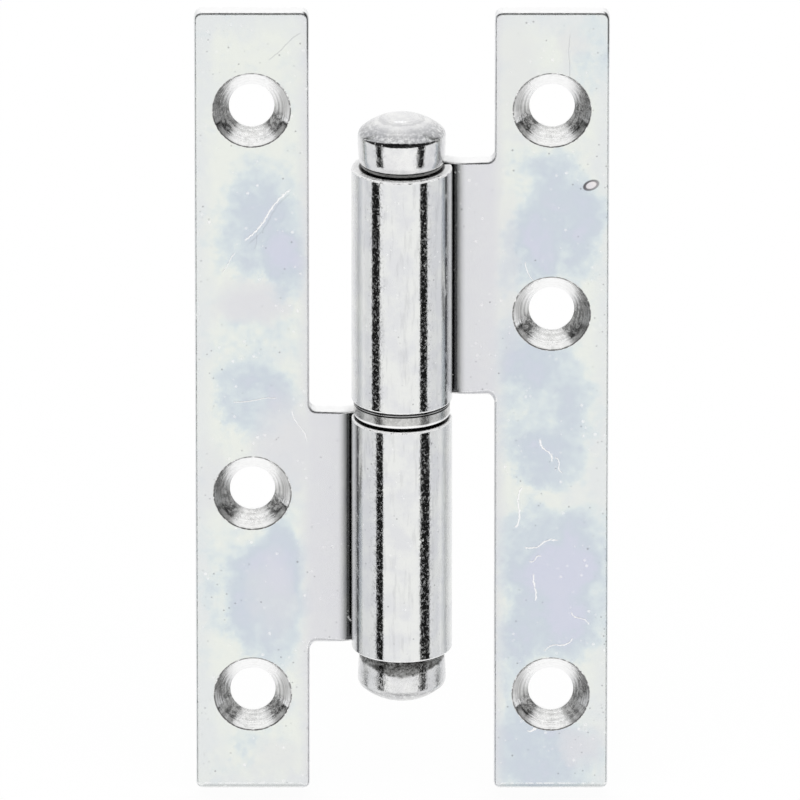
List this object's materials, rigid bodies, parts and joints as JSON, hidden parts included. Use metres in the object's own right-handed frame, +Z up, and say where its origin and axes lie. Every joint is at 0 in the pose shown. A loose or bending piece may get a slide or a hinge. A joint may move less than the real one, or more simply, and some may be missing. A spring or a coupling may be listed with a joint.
{
  "type": "lift-off hinge",
  "caption": "Steel lift-off hinge: two countersunk leaves with rolled knuckles turn on a fixed pin, and the upper leaf lifts off it.",
  "frame": {"origin": "on the pin's axis at mid height, the centre of the bounding box", "axes": "+Z up along the pin, the way the door leaf lifts off; +Y through the leaves from the countersunk faces to the backs; +X towards the door leaf"},
  "size_m": [0.055, 0.0134, 0.11],
  "materials": {
    "leaf_zinc": "bright zinc plate with faint blue, lilac and yellow patches, fine scratches and specks",
    "button_zinc": "bright zinc plate, turned",
    "ring_zinc": "dull zinc plate, slightly pitted",
    "pin_steel": "turned steel"
  },
  "bodies": {
    "frame": {"frame_leaf": "leaf_zinc", "hinge_pin": "pin_steel", "bottom_plug": "button_zinc"},
    "rings": {"thrust_ring": "ring_zinc", "thin_washer": "ring_zinc"},
    "door": {"door_leaf": "leaf_zinc", "top_plug": "button_zinc"}
  },
  "joints": [
    {"name": "leaf_turn", "type": "hinge", "parent": "frame", "child": "rings", "pos_m": [0, 0, 0], "axis": [0, 0, 1], "range_deg": [-180, 140]},
    {"name": "door_lift", "type": "slide", "parent": "rings", "child": "door", "axis": [0, 0, 1], "range_m": [0, 0.032]}
  ]
}
